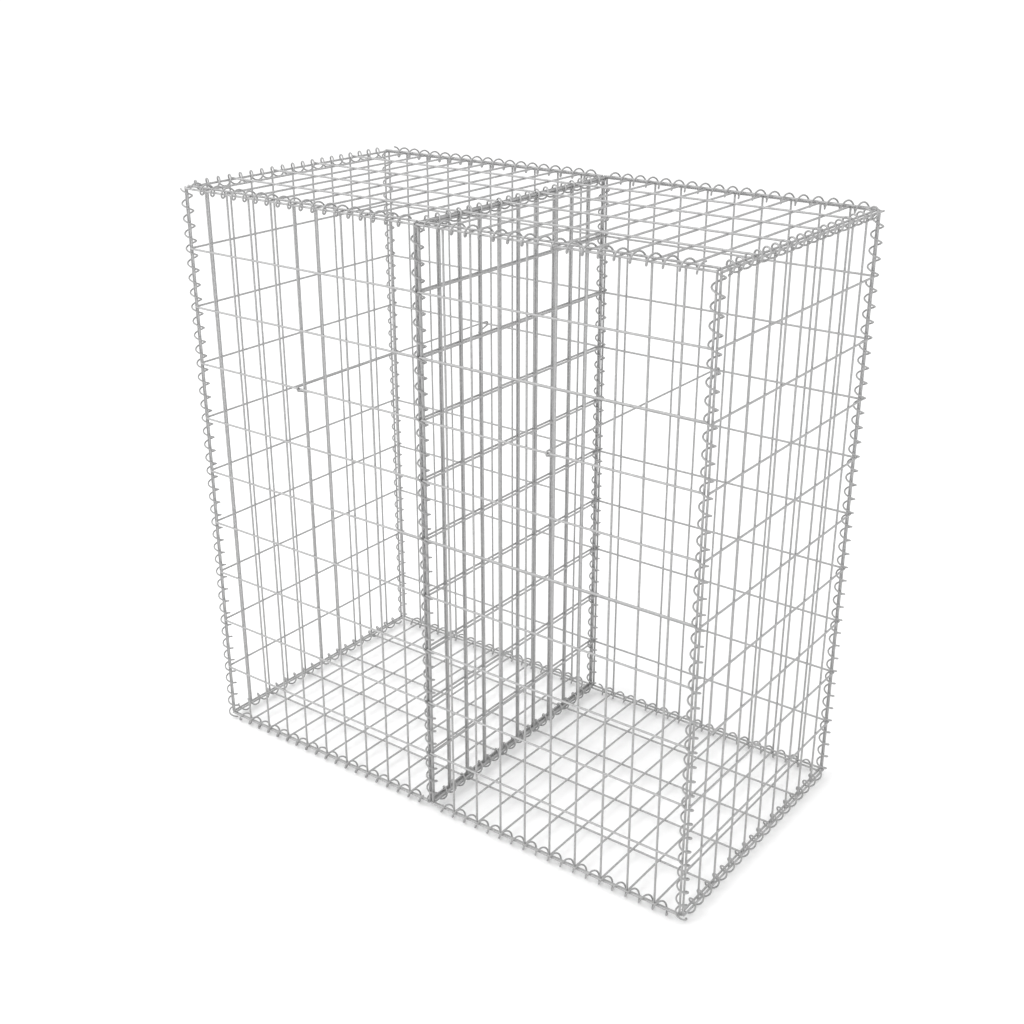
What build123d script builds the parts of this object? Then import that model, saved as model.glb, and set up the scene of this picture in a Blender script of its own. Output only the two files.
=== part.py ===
from build123d import *
import math
import os

# Empty gabion basket with two bays, standing on the spirals along its base.
# X runs along the basket, Y from the front to the back, and Z up.
# The origin is on the ground, under the middle of the base. All sizes are in millimetres.

# Bays
BAY_LENGTH = 500.0
DEPTH = 500.0
HEIGHT = 1000.0            # between the lowest and the highest wires of an upright panel

# Welded mesh
MESH_WIRE = 3.5            # diameter of a mesh wire
UPRIGHT_SPACING = 50.0     # between the wires of the close set
CROSS_SPACING = 100.0      # between the wires of the wide set
WELD_SINK = 1.0            # how far two crossing wires melt into each other
WIRE_TRIM = MESH_WIRE / 2 + 0.25     # stub of wire past the last crossing
BAR_SIDES = 6

# Edge wires stand in from the corner lines, so that a spiral can close round them
WIRE_GAP = 0.7             # between the uprights of the two divider panels
JOINT_GAP = 0.1            # from a divider wire to the other panels it comes up to
FACE_OFFSET = 0.8          # front, back and end panels stand this far outside the bays
CORNER_INSET = MESH_WIRE + 1.5       # edge of a lengthwise panel, in from the basket's end
SEAM_INSET = MESH_WIRE               # edge of a lengthwise panel, in from the divider
END_INSET = MESH_WIRE - 0.5          # edge of an end, the base or the lid, in from a face
DIVIDER_GAP = MESH_WIRE + WIRE_GAP   # between the two mesh panels of the divider
FLAT_INSET = MESH_WIRE + 1.5         # edge of the base or the lid, in from a face
LEVEL_GAP = MESH_WIRE - 1.0          # from the base or the lid to the nearest cross wire

# Lacing spirals
SPIRAL_WIRE = 2.8
LACING_ROOM = 0.1          # between a spiral and the edge wires inside it
TURNS_PER_OPENING = 2      # of the narrow way of the mesh
SIDES_PER_TURN = 8         # each turn is drawn as this many straight lengths
SPIRAL_WIRE_SIDES = 4
CORNER_GAP = 17.0          # lying spirals end this far from an upright one
CORNER_TAIL = 7.0          # corner spirals run this far below the base mesh
SEAM_START = 3.5           # seam spirals start this far above it
UPRIGHT_TOP = 3.0          # and all of them end this far below the lid mesh
PHASE_SHIFT = 2.6          # moves a corner spiral's turns clear of the base mesh

# Tie wires
TIE_WIRE = 3.0
TIE_ROW = 7                # row of cross wires that a tie hooks over
TIE_CLEARANCE = 0.7        # between a tie and the mesh wire inside its hook
TIE_SIDE_GAP = 10.0        # from the upright wire beside the tie
TIE_RETURN = 25.0          # length of the bent-back end

# A hexagon with the area of the round wire has this circumradius
BAR_RADIUS = MESH_WIRE / 2 * math.sqrt(math.pi / (3 * math.sqrt(3) / 2))
CROSS_OFFSET = 2 * BAR_RADIUS * math.cos(math.pi / BAR_SIDES) - WELD_SINK
HALF_OFFSET = CROSS_OFFSET / 2

# The divider stops short of the front, the back, the base and the lid, so that its
# wire ends and end cross wires clear theirs
DIVIDER_INSET = HALF_OFFSET - FACE_OFFSET + BAR_RADIUS + WIRE_TRIM + JOINT_GAP
DIVIDER_LEVEL = HALF_OFFSET + 2 * BAR_RADIUS + JOINT_GAP

# A square with the area of the spiral's round wire has this circumradius
SPIRAL_WIRE_RADIUS = SPIRAL_WIRE / 2 * math.sqrt(math.pi / 2)

# The spirals keep step with the mesh, and each turn clears the four edge wires of a seam.
# The radius is to the middle of the wire, at a corner of the drawn turn.
SPIRAL_PITCH = UPRIGHT_SPACING / TURNS_PER_OPENING
SEAM_REACH = math.hypot(SEAM_INSET, FACE_OFFSET + (CROSS_OFFSET + MESH_WIRE) / 2)
SPIRAL_RADIUS = (SEAM_REACH + BAR_RADIUS + SPIRAL_WIRE_RADIUS + LACING_ROOM) / math.cos(
    math.pi / SIDES_PER_TURN)

# Middle planes of the panels
END = BAY_LENGTH + FACE_OFFSET
FACE = DEPTH / 2 + FACE_OFFSET
LID = HEIGHT + 2 * LEVEL_GAP


def stations(start, end, spacing):
    """Evenly spaced places from start to end, both included."""
    count = round((end - start) / spacing)
    return [start + (end - start) * i / count for i in range(count + 1)]


def edged(edge_low, edge_high, grid):
    """Places of the wires in a panel: the grid, with its two ends moved to the edges."""
    return [edge_low] + grid[1:-1] + [edge_high]


def bar(start, along, facing, length):
    """A six-sided wire from start, with one flat turned to facing."""
    section = Plane(origin=start, x_dir=facing, z_dir=along) * RegularPolygon(
        BAR_RADIUS, BAR_SIDES, rotation=180 / BAR_SIDES)
    return extrude(section, length)


def mesh_panel(frame, across, up):
    """A flat welded panel whose middle plane is the XY plane of frame.

    across holds the X places of the close-set wires, which run along Y in that plane.
    up holds the Y places of the wide-set wires, welded on the side that frame faces.
    """
    facing = frame.z_dir
    x_dir, y_dir = frame.x_dir, frame.y_dir
    low, high = up[0] - WIRE_TRIM, up[-1] + WIRE_TRIM
    left, right = across[0] - WIRE_TRIM, across[-1] + WIRE_TRIM
    shift = facing * HALF_OFFSET
    bars = [bar(frame.origin - shift + x_dir * x + y_dir * low, y_dir, facing, high - low)
            for x in across]
    bars += [bar(frame.origin + shift + y_dir * y + x_dir * left, x_dir, facing,
                 right - left)
             for y in up]
    return bars[0].fuse(*bars[1:])


def spiral(laced, along, start, end, middle, first_wire):
    """A left-handed lacing spiral along the axis midway between the laced edge wires.

    laced holds one point on each of those wires. start, end and first_wire are places
    along the axis. The spiral passes a mesh wire at first_wire on the side away from
    middle, the direction between the panels, so that its turns clear the mesh.
    """
    centre = sum(laced, Vector(0, 0, 0)) / len(laced)
    origin = centre - along * centre.dot(along) + along * start
    frame = Plane(origin=origin, x_dir=middle, z_dir=along)
    step = SPIRAL_PITCH / SIDES_PER_TURN
    points = []
    for i in range(round((end - start) / step) + 1):
        turns = (start + i * step - first_wire) / SPIRAL_PITCH + 0.5
        angle = -2 * math.pi * turns
        points.append(frame.from_local_coords((
            SPIRAL_RADIUS * math.cos(angle), SPIRAL_RADIUS * math.sin(angle), i * step)))
    path = Polyline(*points)
    section = Plane(origin=path @ 0, z_dir=path % 0) * RegularPolygon(
        SPIRAL_WIRE_RADIUS, SPIRAL_WIRE_SIDES)
    return sweep(section, path=path, transition=Transition.RIGHT)


def tie(x):
    """A straight wire across a bay, hooked over a mesh wire at each end."""
    hook = MESH_WIRE / 2 + TIE_WIRE / 2 + TIE_CLEARANCE
    level = cross_z[TIE_ROW] + hook
    front, back = FRONT_CROSS, BACK_CROSS
    points = [
        (x, front + TIE_RETURN, level - 2 * hook),
        (x, front - hook, level - 2 * hook),
        (x, front - hook, level),
        (x, back + hook, level),
        (x, back + hook, level - 2 * hook),
        (x, back - TIE_RETURN, level - 2 * hook),
    ]
    path = FilletPolyline(*points, radius=hook * 0.95)
    section = Plane(origin=path @ 0, z_dir=path % 0) * Circle(TIE_WIRE / 2)
    return sweep(section, path=path)


# Places of the wires: lengthwise for each bay, crosswise, and up
right_x = edged(SEAM_INSET, BAY_LENGTH - CORNER_INSET,
                stations(0, BAY_LENGTH, UPRIGHT_SPACING))
left_x = [-x for x in reversed(right_x)]
end_y = edged(-DEPTH / 2 + END_INSET, DEPTH / 2 - END_INSET,
              stations(-DEPTH / 2, DEPTH / 2, UPRIGHT_SPACING))
divider_y = edged(-DEPTH / 2 + DIVIDER_INSET, DEPTH / 2 - DIVIDER_INSET,
                  stations(-DEPTH / 2, DEPTH / 2, UPRIGHT_SPACING))
flat_y = edged(-DEPTH / 2 + FLAT_INSET, DEPTH / 2 - FLAT_INSET,
               stations(-DEPTH / 2, DEPTH / 2, CROSS_SPACING))
cross_z = stations(LEVEL_GAP, LEVEL_GAP + HEIGHT, CROSS_SPACING)
divider_z = edged(DIVIDER_LEVEL, LID - DIVIDER_LEVEL, cross_z)

# The wide-set wires of the front and back panels lie toward the front, those of both
# ends toward the right, those of the base below and those of the lid above.
FRONT_UPRIGHT, FRONT_CROSS = -FACE + HALF_OFFSET, -FACE - HALF_OFFSET
BACK_UPRIGHT, BACK_CROSS = FACE + HALF_OFFSET, FACE - HALF_OFFSET
LEFT_UPRIGHT, LEFT_CROSS = -END - HALF_OFFSET, -END + HALF_OFFSET
RIGHT_UPRIGHT, RIGHT_CROSS = END - HALF_OFFSET, END + HALF_OFFSET
DIVIDER_UPRIGHT, DIVIDER_CROSS = DIVIDER_GAP / 2, DIVIDER_GAP / 2 + CROSS_OFFSET
DIVIDER = DIVIDER_UPRIGHT + HALF_OFFSET

nodes = {}
for side, across in (("left", left_x), ("right", right_x)):
    for name, y in (("front", -FACE), ("back", FACE)):
        plane = Plane(origin=(0, y, 0), x_dir=(1, 0, 0), z_dir=(0, -1, 0))
        nodes[f"{name}_{side}_panel"] = mesh_panel(plane, across, cross_z)
    base = Plane(origin=(0, 0, 0), x_dir=(-1, 0, 0), z_dir=(0, 0, -1))
    nodes[f"bottom_{side}_panel"] = mesh_panel(base, [-x for x in reversed(across)], flat_y)
    lid = Plane(origin=(0, 0, LID), x_dir=(1, 0, 0), z_dir=(0, 0, 1))
    nodes[f"lid_{side}_panel"] = mesh_panel(lid, across, flat_y)
for name, x, facing, across, rows in (
    ("left_end_panel", -END, 1, end_y, cross_z),
    ("right_end_panel", END, 1, end_y, cross_z),
    ("divider_left_panel", -DIVIDER, -1, divider_y, divider_z),
    ("divider_right_panel", DIVIDER, 1, divider_y, divider_z),
):
    plane = Plane(origin=(x, 0, 0), x_dir=(0, facing, 0), z_dir=(facing, 0, 0))
    nodes[name] = mesh_panel(plane, across, rows)

# Upright spirals: four corners, and the two seams at the divider
up, along_x, along_y = Vector(0, 0, 1), Vector(1, 0, 0), Vector(0, 1, 0)
corner_x = BAY_LENGTH - CORNER_INSET
for name, edge_x, face_y, end_x, panel_y, middle, shift in (
    ("front_left", -corner_x, FRONT_UPRIGHT, LEFT_UPRIGHT, end_y[0], (1, 1), 0),
    ("front_right", corner_x, FRONT_UPRIGHT, RIGHT_UPRIGHT, end_y[0], (-1, 1), PHASE_SHIFT),
    ("back_left", -corner_x, BACK_UPRIGHT, LEFT_UPRIGHT, end_y[-1], (1, -1), PHASE_SHIFT),
    ("back_right", corner_x, BACK_UPRIGHT, RIGHT_UPRIGHT, end_y[-1], (-1, -1), 0),
    ("front_middle", 0, FRONT_UPRIGHT, 0, divider_y[0], (0, 1), 0),
    ("back_middle", 0, BACK_UPRIGHT, 0, divider_y[-1], (0, -1), 0),
):
    laced = [Vector(edge_x, face_y, 0), Vector(end_x, panel_y, 0)]
    start = -CORNER_TAIL if edge_x else SEAM_START
    nodes[f"{name}_spiral"] = spiral(laced, up, start, LID - UPRIGHT_TOP,
                                     Vector(*middle, 0), cross_z[0] - shift)

# Lengthwise spirals, one for each bay, along the base and the lid
for level, z, z_row, rise in (("bottom", -HALF_OFFSET, cross_z[0], 1),
                              ("lid", LID + HALF_OFFSET, cross_z[-1], -1)):
    for face, y, y_row, inward in (("front", flat_y[0], FRONT_CROSS, 1),
                                   ("back", flat_y[-1], BACK_CROSS, -1)):
        for side, start, end in (
            ("left", -corner_x + CORNER_GAP, -CORNER_GAP),
            ("right", CORNER_GAP, corner_x - CORNER_GAP),
        ):
            laced = [Vector(0, y, z), Vector(0, y_row, z_row)]
            nodes[f"{level}_{face}_{side}_spiral"] = spiral(
                laced, along_x, start, end, Vector(0, inward, rise), 0)

# Crosswise spirals at both ends and over the divider
reach = DEPTH / 2 - CORNER_GAP
for level, z, row, rise in (("bottom", HALF_OFFSET, 0, 1),
                            ("lid", LID - HALF_OFFSET, -1, -1)):
    for name, x, x_row, z_row, inward in (
        ("left", -corner_x, LEFT_CROSS, cross_z[row], 1),
        ("divider", 0, 0, divider_z[row], 0),
        ("right", corner_x, RIGHT_CROSS, cross_z[row], -1),
    ):
        laced = [Vector(x, 0, z), Vector(x_row, 0, z_row)]
        nodes[f"{level}_{name}_spiral"] = spiral(
            laced, along_y, -reach, reach, Vector(inward, 0, rise), 0)

nodes["left_bay_tie"] = tie(-BAY_LENGTH / 2 - TIE_SIDE_GAP)
nodes["right_bay_tie"] = tie(BAY_LENGTH / 2 - TIE_SIDE_GAP)

# Stand the basket on the ground, with its middle over the origin
boxes = [solid.bounding_box() for solid in nodes.values()]
x_middle = (min(box.min.X for box in boxes) + max(box.max.X for box in boxes)) / 2
y_middle = (min(box.min.Y for box in boxes) + max(box.max.Y for box in boxes)) / 2
stand = Location((-x_middle, -y_middle, -min(box.min.Z for box in boxes)))
print("moved by", stand.position)

os.makedirs("parts", exist_ok=True)
for name, solid in nodes.items():
    export_step(solid.moved(stand), f"parts/{name}.step", write_pcurves=False)
    print(name, round(solid.volume, 1))
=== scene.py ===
# %% [markdown]
# # An empty gabion basket with two bays
#
# A gabion is a cage of steel wire that is filled with stones to make a wall. The one here
# is still empty. Flat panels of welded mesh make its six sides and the divider between the
# two bays, wire spirals lace the panels together along every edge, and two hooked tie
# wires hold the front to the back.
#
# The scene is made in the order in which a basket is put together: first the mesh panels,
# then the spirals that are wound into their edges, then the ties. Each piece stands where
# its plainer part in the frame stands.

# %% Load the frame
import math

import bmesh
import bpy
from mathutils import Matrix, Vector


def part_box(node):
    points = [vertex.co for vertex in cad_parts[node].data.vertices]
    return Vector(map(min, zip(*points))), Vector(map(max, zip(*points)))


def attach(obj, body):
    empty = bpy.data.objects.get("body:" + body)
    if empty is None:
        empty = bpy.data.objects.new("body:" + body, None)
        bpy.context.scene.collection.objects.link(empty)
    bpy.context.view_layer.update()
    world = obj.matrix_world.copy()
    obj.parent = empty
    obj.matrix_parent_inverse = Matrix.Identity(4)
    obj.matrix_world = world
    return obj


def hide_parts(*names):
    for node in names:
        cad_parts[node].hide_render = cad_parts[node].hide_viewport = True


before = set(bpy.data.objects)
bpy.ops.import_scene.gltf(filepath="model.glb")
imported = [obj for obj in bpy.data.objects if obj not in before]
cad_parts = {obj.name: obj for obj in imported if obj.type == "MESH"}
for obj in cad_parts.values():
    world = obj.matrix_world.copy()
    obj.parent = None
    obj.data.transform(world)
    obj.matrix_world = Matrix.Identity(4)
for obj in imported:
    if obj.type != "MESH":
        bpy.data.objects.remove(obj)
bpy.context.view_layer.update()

# %% [markdown]
# ## Sizes
#
# All the sizes that shape the basket are named here, in millimetres. Gabion mesh is sold
# in a few standard openings, and the one in the photo is 50 mm wide and 100 mm high. A
# spiral's pitch is half the width of an opening, so every opening gets two turns.
#
# An inset is how far a panel's edge wire stands in from the line of the corner or seam
# that it is laced at. A gap keeps pieces clear of each other. Crossing wires melt into each
# other, so their middles lie about two thirds of a wire apart.
#
# A corner spiral runs on a little below the base, a seam spiral starts above it, and both
# stop below the lid. Two of the corner spirals are shifted along, so that their turns clear
# the base mesh.

# %% Name the sizes
BAY_LENGTH, DEPTH, HEIGHT = 500, 500, 1000
MESH_WIRE, MESH_WIRE_SIDES = 3.5, 14
UPRIGHT_SPACING, CROSS_SPACING = 50, 100
WIRE_TRIM, RIM_ROUNDING = 2.0, 0.3
CROSS_OFFSET = 2.34
WELD_RADIUS, WELD_HALF_HEIGHT, WELD_SIDES, WELD_RINGS = 2.15, 1.5, 8, 5
FACE_OFFSET = 0.8
CORNER_INSET, SEAM_INSET, END_INSET, FLAT_INSET = 5.0, 3.5, 3.0, 5.0
DIVIDER_GAP, DIVIDER_INSET = 4.2, 4.39
LEVEL_GAP, DIVIDER_LEVEL = 2.5, 5.12

SPIRAL_WIRE, SPIRAL_WIRE_SIDES = 2.9, 8
SPIRAL_RADIUS, SPIRAL_PITCH, STEPS_PER_TURN = 8.8, 25.0, 20
CORNER_GAP = 17.0
CORNER_TAIL, SEAM_START, UPRIGHT_TOP = 7.0, 3.5, 3.0
PHASE_SHIFT = 2.6

TIE_WIRE, TIE_WIRE_SIDES, STEPS_PER_BEND = 3.0, 12, 14
TIE_ROW, TIE_SIDE_GAP = 7, 10.0
TIE_CLEARANCE, TIE_RETURN, TIE_DROP = 0.7, 25.0, 8.0

HALF_OFFSET = CROSS_OFFSET / 2
END = BAY_LENGTH + FACE_OFFSET
FACE = DEPTH / 2 + FACE_OFFSET
LID = HEIGHT + 2 * LEVEL_GAP
print("between opposite panels in mm:", 2 * END, "by", 2 * FACE, "by", LID)


def mm(value):
    """Millimetres as metres."""
    return value / 1000


def place(x, y, z):
    """A point in millimetres, from the middle of the base mesh, in the shared frame."""
    return base_middle + Vector((mm(x), mm(y), mm(z)))


# %% [markdown]
# ## The middle of the base mesh
#
# The frame's origin is on the ground. The mesh of the base hangs a little above it,
# because the basket rests on the spirals along its lower edges. The two front panels
# mirror each other about the middle of the length, and the base panels about the middle of
# the depth, so the middle of the base mesh is read from where those parts stand.

# %% Find the middle of the base mesh
front_low, front_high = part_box("front_left_panel")[0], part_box("front_right_panel")[1]
base_low, base_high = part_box("bottom_left_panel")
base_middle = Vector((
    (front_low.x + front_high.x) / 2,
    (base_low.y + base_high.y) / 2,
    front_low.z - mm(LEVEL_GAP - WIRE_TRIM),
))
print("middle of the base mesh in mm:", [round(v * 1000, 2) for v in base_middle])

# %% [markdown]
# ## Zinc
#
# Gabion wire is dipped in molten zinc, or drawn from wire that was. New zinc is bright,
# and it dulls within weeks to the even, neutral grey of the photo. It freezes in crystals,
# called spangle, which show as faint patches a few millimetres across. Broader patches,
# 60 mm across, stand for uneven weather. Both are drawn from the object's own coordinates,
# so they stay in place on the wire. Dull zinc is part oxide, which is not a metal, so the
# surface is mixed from a metal and a matt finish.

# %% Materials
WEATHER_PATCH = 60
ROUGHNESS_SPREAD = 0.06
METALLIC = 0.55


def colour(code):
    """A colour from its sRGB hex code, as linear red, green, blue and alpha."""
    parts = [int(code[i:i + 2], 16) / 255 for i in (1, 3, 5)]
    return [c / 12.92 if c <= 0.04045 else ((c + 0.055) / 1.055) ** 2.4 for c in parts] + [1]


def add_node(tree, kind, links=(), **values):
    """A shader node with its values set, linked from (socket, its source)."""
    node = tree.nodes.new(kind)
    for name, value in values.items():
        if name in node.inputs:
            node.inputs[name].default_value = value
        else:
            setattr(node, name, value)
    for socket, source in links:
        tree.links.new(source, node.inputs[socket])
    return node


def galvanised(name, dark, light, spangle, roughness):
    """Zinc-coated steel whose crystals are about spangle millimetres across."""
    material = bpy.data.materials.new(name)
    material.use_nodes = True
    tree = material.node_tree
    tree.nodes.clear()
    where = add_node(tree, "ShaderNodeTexCoord").outputs["Object"]
    crystals = add_node(tree, "ShaderNodeTexVoronoi", [("Vector", where)],
                        Scale=1 / mm(spangle))
    weather = add_node(tree, "ShaderNodeTexNoise", [("Vector", where)],
                       Scale=1 / mm(WEATHER_PATCH), Detail=3.0)
    grey = add_node(tree, "ShaderNodeSeparateColor", [("Color", crystals.outputs["Color"])])
    blend = add_node(tree, "ShaderNodeMath",
                     [(0, grey.outputs["Red"]), (1, weather.outputs["Fac"])],
                     operation="MULTIPLY")
    tint = add_node(tree, "ShaderNodeMix", [("Factor", blend.outputs[0])], data_type="RGBA")
    tint.inputs["A"].default_value = colour(dark)
    tint.inputs["B"].default_value = colour(light)
    rough = add_node(tree, "ShaderNodeMapRange", [("Value", weather.outputs["Fac"])])
    rough.inputs["To Min"].default_value = roughness - ROUGHNESS_SPREAD
    rough.inputs["To Max"].default_value = roughness + ROUGHNESS_SPREAD
    surface = add_node(tree, "ShaderNodeBsdfPrincipled",
                       [("Base Color", tint.outputs["Result"]),
                        ("Roughness", rough.outputs["Result"])],
                       Metallic=METALLIC)
    add_node(tree, "ShaderNodeOutputMaterial", [("Surface", surface.outputs["BSDF"])])
    return material


mesh_zinc = galvanised("hot-dip galvanised mesh wire", "#a4a4a4", "#bfbfbf", 2.5, 0.55)
spiral_zinc = galvanised("galvanised spring steel wire", "#9c9c9c", "#b8b8b8", 1.5, 0.48)
tie_zinc = galvanised("galvanised soft tie wire", "#9c9c9c", "#b8b8b8", 2.0, 0.5)
print("materials:", [m.name for m in (mesh_zinc, spiral_zinc, tie_zinc)])

# %% [markdown]
# ## One helper that turns a mesh into a piece
#
# Every piece takes the place of one part of the frame. The helper smooths the round
# surfaces, leaves the cut ends sharp, and says which part the piece stands for.

# %% The helper
SHARP_ANGLE = 40


def make_piece(bm, node, material):
    """Turns bm into the object that stands for the CAD node of that name."""
    bmesh.ops.recalc_face_normals(bm, faces=bm.faces)
    mesh = bpy.data.meshes.new(node + "_wires")
    bm.to_mesh(mesh)
    bm.free()
    for polygon in mesh.polygons:
        polygon.use_smooth = True
    mesh.set_sharp_from_angle(angle=math.radians(SHARP_ANGLE))
    mesh.materials.append(material)
    obj = bpy.data.objects.new(node + "_wires", mesh)
    bpy.context.scene.collection.objects.link(obj)
    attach(obj, "root")
    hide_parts(node)
    return obj


# %% [markdown]
# ## Straight wires and welds
#
# Mesh is welded by laying straight wires across each other and passing a current through
# each crossing. The wires melt a little into each other there, and some steel is squeezed
# out round the joint as a small, smooth nugget. The ends are sheared, which leaves a
# slightly rounded edge.

# %% A straight wire and a weld


def add_wire(bm, start, end, diameter):
    """A round wire between two points."""
    along = end - start
    turn = along.to_track_quat("Z", "Y").to_matrix().to_4x4()
    bmesh.ops.create_cone(
        bm, segments=MESH_WIRE_SIDES, radius1=mm(diameter / 2), radius2=mm(diameter / 2),
        depth=along.length, cap_ends=True,
        matrix=Matrix.Translation((start + end) / 2) @ turn)


def round_ends(bm):
    """Rounds the sheared rim at both ends of every wire."""
    rims = [e for e in bm.edges if any(len(f.verts) > 4 for f in e.link_faces)]
    bmesh.ops.bevel(bm, geom=rims, offset=mm(RIM_ROUNDING), offset_type="OFFSET",
                    segments=1, profile=0.5, affect="EDGES", material=-1)


def add_weld(bm, middle, facing):
    """The nugget between two crossing wires, flattened along facing."""
    turn = facing.to_track_quat("Z", "Y").to_matrix().to_4x4()
    size = Matrix.Diagonal((mm(WELD_RADIUS), mm(WELD_RADIUS), mm(WELD_HALF_HEIGHT), 1))
    bmesh.ops.create_uvsphere(bm, u_segments=WELD_SIDES, v_segments=WELD_RINGS, radius=1,
                              matrix=Matrix.Translation(middle) @ turn @ size)


# %% [markdown]
# ## Mesh panels
#
# A panel has close-set wires 50 mm apart, and wide-set wires 100 mm apart welded on one
# side of them. Its outermost wires stand in a little from the corner of the basket, so
# that a spiral can close round the edge wires of both panels that meet there. Each bay has
# its own front, back, base and lid, and its own side of the divider.
#
# All the close-set wires of a panel are alike. So one of them is made with its welds, and
# it is laid down again at each place.

# %% Make the panels


def stations(start, end, spacing):
    """Evenly spaced places from start to end, both included."""
    count = round((end - start) / spacing)
    return [start + (end - start) * i / count for i in range(count + 1)]


def edged(low, high, grid):
    """The grid, with its first and last places moved to the panel's edges."""
    return [low] + grid[1:-1] + [high]


def make_panel(node, close, wide, point, facing):
    """A welded panel.

    close and wide hold the places of the two sets of wires. point(c, w, side) is the
    point at those places, on the close-set wires for side -1 and the wide-set for 1.
    """
    low, high = wide[0] - WIRE_TRIM, wide[-1] + WIRE_TRIM
    left, right = close[0] - WIRE_TRIM, close[-1] + WIRE_TRIM
    bm = bmesh.new()
    for w in wide:
        add_wire(bm, point(left, w, 1), point(right, w, 1), MESH_WIRE)
    round_ends(bm)
    strand = bmesh.new()
    add_wire(strand, point(close[0], low, -1), point(close[0], high, -1), MESH_WIRE)
    round_ends(strand)
    for w in wide:
        add_weld(strand, point(close[0], w, 0), facing)
    laid = bpy.data.meshes.new("strand")
    for here, following in zip(close, close[1:] + close[-1:]):
        strand.to_mesh(laid)
        bm.from_mesh(laid)
        bmesh.ops.translate(strand, verts=strand.verts,
                            vec=point(following, low, 0) - point(here, low, 0))
    strand.free()
    bpy.data.meshes.remove(laid)
    return make_piece(bm, node, mesh_zinc)


right_x = edged(SEAM_INSET, BAY_LENGTH - CORNER_INSET,
                stations(0, BAY_LENGTH, UPRIGHT_SPACING))
left_x = [-x for x in reversed(right_x)]
end_y = edged(-DEPTH / 2 + END_INSET, DEPTH / 2 - END_INSET,
              stations(-DEPTH / 2, DEPTH / 2, UPRIGHT_SPACING))
divider_y = edged(-DEPTH / 2 + DIVIDER_INSET, DEPTH / 2 - DIVIDER_INSET,
                  stations(-DEPTH / 2, DEPTH / 2, UPRIGHT_SPACING))
flat_y = edged(-DEPTH / 2 + FLAT_INSET, DEPTH / 2 - FLAT_INSET,
               stations(-DEPTH / 2, DEPTH / 2, CROSS_SPACING))
cross_z = stations(LEVEL_GAP, LEVEL_GAP + HEIGHT, CROSS_SPACING)
divider_z = edged(DIVIDER_LEVEL, LID - DIVIDER_LEVEL, cross_z)

along_x, along_y, up = Vector((1, 0, 0)), Vector((0, 1, 0)), Vector((0, 0, 1))
panels = []
for side, close in (("left", left_x), ("right", right_x)):
    for name, y in (("front", -FACE), ("back", FACE)):
        panels.append(make_panel(
            f"{name}_{side}_panel", close, cross_z,
            lambda c, w, s, y=y: place(c, y - s * HALF_OFFSET, w), along_y))
    for name, z, outward in (("bottom", 0, -1), ("lid", LID, 1)):
        panels.append(make_panel(
            f"{name}_{side}_panel", close, flat_y,
            lambda c, w, s, z=z, o=outward: place(c, w, z + o * s * HALF_OFFSET), up))
divider = DIVIDER_GAP / 2 + HALF_OFFSET
for name, x, outward, close, wide in (
    ("left_end_panel", -END, 1, end_y, cross_z),
    ("right_end_panel", END, 1, end_y, cross_z),
    ("divider_left_panel", -divider, -1, divider_y, divider_z),
    ("divider_right_panel", divider, 1, divider_y, divider_z),
):
    panels.append(make_panel(
        name, close, wide,
        lambda c, w, s, x=x, o=outward: place(x + o * s * HALF_OFFSET, c, w), along_x))
print("panels:", len(panels), "faces:", sum(len(p.data.polygons) for p in panels))

# %% [markdown]
# ## Spirals
#
# A lacing spiral is spring wire wound to an open pitch. It is screwed into a seam by
# turning it, so that each turn passes behind the edge wires of all the panels that meet
# there. A ring of points the size of the wire is turned about the axis of the spiral and
# moved along it at the same time, which is just how the wire is wound. One whole turn is
# wound and then set down again every pitch, because all the turns are alike. In the photo
# the spirals are left-handed, and their turns pass between the mesh wires.

# %% Make the spirals
JOIN_DISTANCE = 0.01


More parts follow.
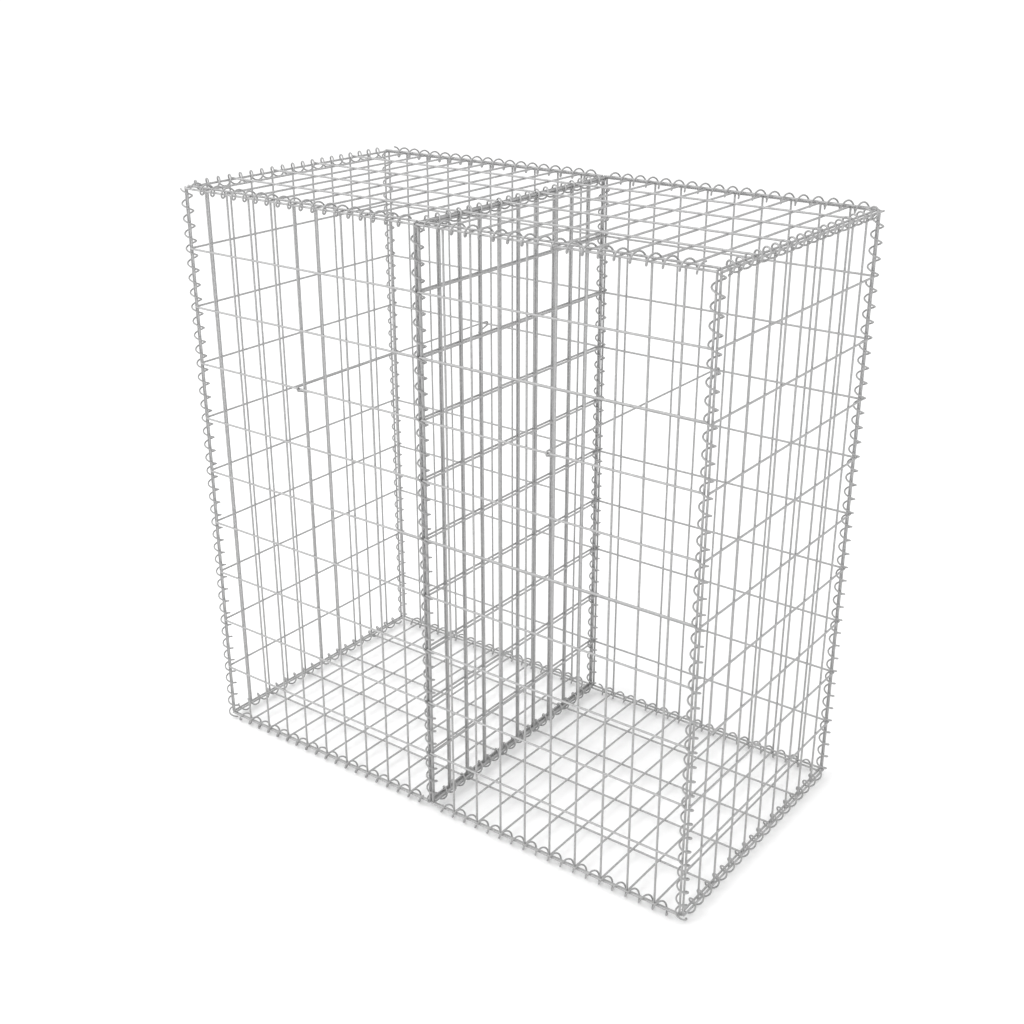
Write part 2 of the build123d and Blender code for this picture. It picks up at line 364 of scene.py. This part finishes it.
def make_spiral(node, laced, along, start, end, middle, first_wire):
    """A left-handed spiral about the line midway between the laced edge wires.

    laced holds one point on each of them, and middle points into the basket. The spiral
    passes the mesh wire at first_wire on the side away from middle.
    """
    centre = sum(laced, Vector()) / len(laced)
    centre = centre - along * centre.dot(along)
    middle = middle.normalized()
    side = along.cross(middle)
    angle = -2 * math.pi * ((start - first_wire) / SPIRAL_PITCH + 0.5)
    outward = middle * math.cos(angle) + side * math.sin(angle)
    forward = middle * math.sin(angle) - side * math.cos(angle)
    rise = SPIRAL_PITCH / (2 * math.pi * SPIRAL_RADIUS)
    axis_point = base_middle + mm(centre + along * start)
    ring_middle = axis_point + outward * mm(SPIRAL_RADIUS)
    heading = (forward + along * rise).to_track_quat("Z", "Y").to_matrix().to_4x4()
    bm = bmesh.new()
    bmesh.ops.create_circle(bm, segments=SPIRAL_WIRE_SIDES, radius=mm(SPIRAL_WIRE / 2),
                            matrix=Matrix.Translation(ring_middle) @ heading)
    rim = bm.edges[:]
    whole, rest = divmod(round((end - start) / SPIRAL_PITCH * STEPS_PER_TURN),
                         STEPS_PER_TURN)
    step = along * mm(SPIRAL_PITCH / STEPS_PER_TURN)
    if rest:
        rim = bmesh.ops.spin(bm, geom=rim, cent=axis_point, axis=along, dvec=step,
                             angle=-2 * math.pi * rest / STEPS_PER_TURN, steps=rest,
                             use_duplicate=False)["geom_last"]
    first = set(bm.faces)
    bmesh.ops.spin(bm, geom=rim, cent=axis_point, axis=along, dvec=step,
                   angle=-2 * math.pi, steps=STEPS_PER_TURN, use_duplicate=False)
    turn = [f for f in bm.faces if f not in first]
    bmesh.ops.spin(bm, geom=turn, cent=axis_point, axis=along,
                   dvec=along * mm(SPIRAL_PITCH), angle=0, steps=whole - 1,
                   use_duplicate=True)
    bmesh.ops.remove_doubles(bm, verts=bm.verts, dist=mm(JOIN_DISTANCE))
    ends = [e for e in bm.edges if len(e.link_faces) == 1]
    bmesh.ops.holes_fill(bm, edges=ends, sides=0)
    return make_piece(bm, node, spiral_zinc)


front_upright, front_cross = -FACE + HALF_OFFSET, -FACE - HALF_OFFSET
back_upright, back_cross = FACE + HALF_OFFSET, FACE - HALF_OFFSET
left_upright, left_cross = -END - HALF_OFFSET, -END + HALF_OFFSET
right_upright, right_cross = END - HALF_OFFSET, END + HALF_OFFSET
corner_x = BAY_LENGTH - CORNER_INSET

spirals = []
for name, edge_x, face_y, end_x, panel_y, middle, shift in (
    ("front_left", -corner_x, front_upright, left_upright, end_y[0], (1, 1, 0), 0),
    ("front_right", corner_x, front_upright, right_upright, end_y[0], (-1, 1, 0),
     PHASE_SHIFT),
    ("back_left", -corner_x, back_upright, left_upright, end_y[-1], (1, -1, 0),
     PHASE_SHIFT),
    ("back_right", corner_x, back_upright, right_upright, end_y[-1], (-1, -1, 0), 0),
    ("front_middle", 0, front_upright, 0, divider_y[0], (0, 1, 0), 0),
    ("back_middle", 0, back_upright, 0, divider_y[-1], (0, -1, 0), 0),
):
    laced = [Vector((edge_x, face_y, 0)), Vector((end_x, panel_y, 0))]
    start = -CORNER_TAIL if edge_x else SEAM_START
    spirals.append(make_spiral(f"{name}_spiral", laced, up, start, LID - UPRIGHT_TOP,
                               Vector(middle), cross_z[0] - shift))

for level, z, z_row, rise in (("bottom", -HALF_OFFSET, cross_z[0], 1),
                              ("lid", LID + HALF_OFFSET, cross_z[-1], -1)):
    for face, y, y_row, inward in (("front", flat_y[0], front_cross, 1),
                                   ("back", flat_y[-1], back_cross, -1)):
        for side, start, end in (("left", -corner_x + CORNER_GAP, -CORNER_GAP),
                                 ("right", CORNER_GAP, corner_x - CORNER_GAP)):
            laced = [Vector((0, y, z)), Vector((0, y_row, z_row))]
            spirals.append(make_spiral(f"{level}_{face}_{side}_spiral", laced, along_x,
                                       start, end, Vector((0, inward, rise)), 0))

reach = DEPTH / 2 - CORNER_GAP
for level, z, row, rise in (("bottom", HALF_OFFSET, 0, 1),
                            ("lid", LID - HALF_OFFSET, -1, -1)):
    for name, x, x_row, z_row, inward in (
        ("left", -corner_x, left_cross, cross_z[row], 1),
        ("divider", 0, 0, divider_z[row], 0),
        ("right", corner_x, right_cross, cross_z[row], -1),
    ):
        laced = [Vector((x, 0, z)), Vector((x_row, 0, z_row))]
        spirals.append(make_spiral(f"{level}_{name}_spiral", laced, along_y,
                                   -reach, reach, Vector((inward, 0, rise)), 0))
print("spirals:", len(spirals), "faces:", sum(len(s.data.polygons) for s in spirals))

# %% [markdown]
# ## Ties
#
# When stones are tipped in, they push the front of the basket outward. A tie is a soft
# wire that spans the bay from front to back at seven tenths of its height. Each end is
# wrapped over a cross wire of the mesh and bent back under the tie. The ring of points is
# pushed along the straight lengths and turned round the cross wire for the bends, which is
# how it is bent by hand.

# %% Make the ties


def push(bm, rim, move):
    """Draws the open end rim along move, and returns the new end."""
    made = bmesh.ops.extrude_edge_only(bm, edges=rim)["geom"]
    verts = [g for g in made if isinstance(g, bmesh.types.BMVert)]
    bmesh.ops.translate(bm, verts=verts, vec=move)
    return [g for g in made
            if isinstance(g, bmesh.types.BMEdge) and all(v in verts for v in g.verts)]


def bend(bm, rim, centre, angle):
    """Turns the open end rim about the X axis through centre, and returns the new end."""
    verts = list({v for e in rim for v in e.verts})
    made = bmesh.ops.spin(bm, geom=verts + rim, cent=centre, axis=along_x, angle=angle,
                          steps=STEPS_PER_BEND, use_duplicate=False)["geom_last"]
    return [g for g in made if isinstance(g, bmesh.types.BMEdge)]


def make_tie(node, x):
    """A tie at x, from the tip of its front hook to the tip of its back hook."""
    hook = MESH_WIRE / 2 + TIE_WIRE / 2 + TIE_CLEARANCE
    level = cross_z[TIE_ROW]
    tip = place(x, front_cross + TIE_RETURN, level - hook - TIE_DROP)
    under_front = place(x, front_cross, level - hook)
    over_front = place(x, front_cross, level + hook)
    over_back = place(x, back_cross, level + hook)
    bm = bmesh.new()
    heading = along_y.to_track_quat("Z", "X").to_matrix().to_4x4()
    bmesh.ops.create_circle(bm, segments=TIE_WIRE_SIDES, radius=mm(TIE_WIRE / 2),
                            matrix=Matrix.Translation(tip) @ heading)
    rim = bm.edges[:]
    rim = push(bm, rim, under_front - tip)
    rim = bend(bm, rim, place(x, front_cross, level), -math.pi)
    rim = push(bm, rim, over_back - over_front)
    rim = bend(bm, rim, place(x, back_cross, level), -math.pi)
    push(bm, rim, Vector((0, -mm(TIE_RETURN), -mm(TIE_DROP))))
    ends = [e for e in bm.edges if len(e.link_faces) == 1]
    bmesh.ops.holes_fill(bm, edges=ends, sides=0)
    return make_piece(bm, node, tie_zinc)


ties = [make_tie("left_bay_tie", -BAY_LENGTH / 2 - TIE_SIDE_GAP),
        make_tie("right_bay_tie", BAY_LENGTH / 2 - TIE_SIDE_GAP)]
print("ties:", [[round(v * 1000, 1) for v in t.dimensions] for t in ties])

# %% [markdown]
# ## Light, floor and camera
#
# The photo is a catalogue picture on pure white with soft light from all round. A pale
# floor under an even, bright sky gives the same, and keeps the faint shadow under the
# basket. One large lamp, high at the left, gives each wire a lighter side. Places and sizes
# are in metres.

# %% Stage
FLOOR_REACH = 60
SKY_STRENGTH = 1.16
LAMP_AT, LAMP_AIM = Vector((-2.4, -2.6, 3.6)), Vector((0, 0, 0.4))
LAMP_SIZE, LAMP_POWER = 2.5, 70


def plain(name, code, roughness):
    """A plain matt surface."""
    material = bpy.data.materials.new(name)
    material.use_nodes = True
    tree = material.node_tree
    tree.nodes.clear()
    surface = add_node(tree, "ShaderNodeBsdfPrincipled", Roughness=roughness)
    surface.inputs["Base Color"].default_value = colour(code)
    surface.inputs["Specular IOR Level"].default_value = 0.0
    add_node(tree, "ShaderNodeOutputMaterial", [("Surface", surface.outputs["BSDF"])])
    return material


bm = bmesh.new()
bmesh.ops.create_grid(bm, x_segments=1, y_segments=1, size=FLOOR_REACH)
floor_mesh = bpy.data.meshes.new("floor")
bm.to_mesh(floor_mesh)
bm.free()
floor_mesh.materials.append(plain("white floor", "#fafafa", 0.9))
floor = bpy.data.objects.new("floor", floor_mesh)
bpy.context.scene.collection.objects.link(floor)

world = bpy.data.worlds.new("studio")
bpy.context.scene.world = world
world.use_nodes = True
world.node_tree.nodes.clear()
sky = add_node(world.node_tree, "ShaderNodeBackground", Strength=SKY_STRENGTH)
sky.inputs["Color"].default_value = colour("#ffffff")
add_node(world.node_tree, "ShaderNodeOutputWorld", [("Surface", sky.outputs["Background"])])

lamp_data = bpy.data.lights.new("key lamp", "AREA")
lamp_data.size = LAMP_SIZE
lamp_data.energy = LAMP_POWER
lamp = bpy.data.objects.new("key lamp", lamp_data)
lamp.location = LAMP_AT
lamp.rotation_mode = "QUATERNION"
lamp.rotation_quaternion = (LAMP_AIM - LAMP_AT).to_track_quat("-Z", "Y")
bpy.context.scene.collection.objects.link(lamp)
print("lamp at", [round(v, 2) for v in LAMP_AT], "and sky strength", SKY_STRENGTH)

# %% [markdown]
# The camera's place, aim and lens were worked out from the crossings of the wires in the
# photo, since their true places in the basket are known.

# %% Camera
CAMERA_AT = Vector((1.30858, -1.76873, 1.41206))
CAMERA_FACING = Vector((-0.55048, 0.73697, -0.39223))
CAMERA_LENS, CAMERA_SENSOR = 48.37, 36
NEAREST, FARTHEST = 0.05, 200

camera_data = bpy.data.cameras.new("camera")
camera_data.lens = CAMERA_LENS
camera_data.sensor_width = CAMERA_SENSOR
camera_data.clip_start, camera_data.clip_end = NEAREST, FARTHEST
camera = bpy.data.objects.new("camera", camera_data)
camera.location = CAMERA_AT
camera.rotation_mode = "QUATERNION"
camera.rotation_quaternion = CAMERA_FACING.to_track_quat("-Z", "Y")
bpy.context.scene.collection.objects.link(camera)
bpy.context.scene.camera = camera
bpy.context.scene.view_settings.view_transform = "Standard"
print("camera at", [round(v, 3) for v in CAMERA_AT], "with a lens of", CAMERA_LENS, "mm")
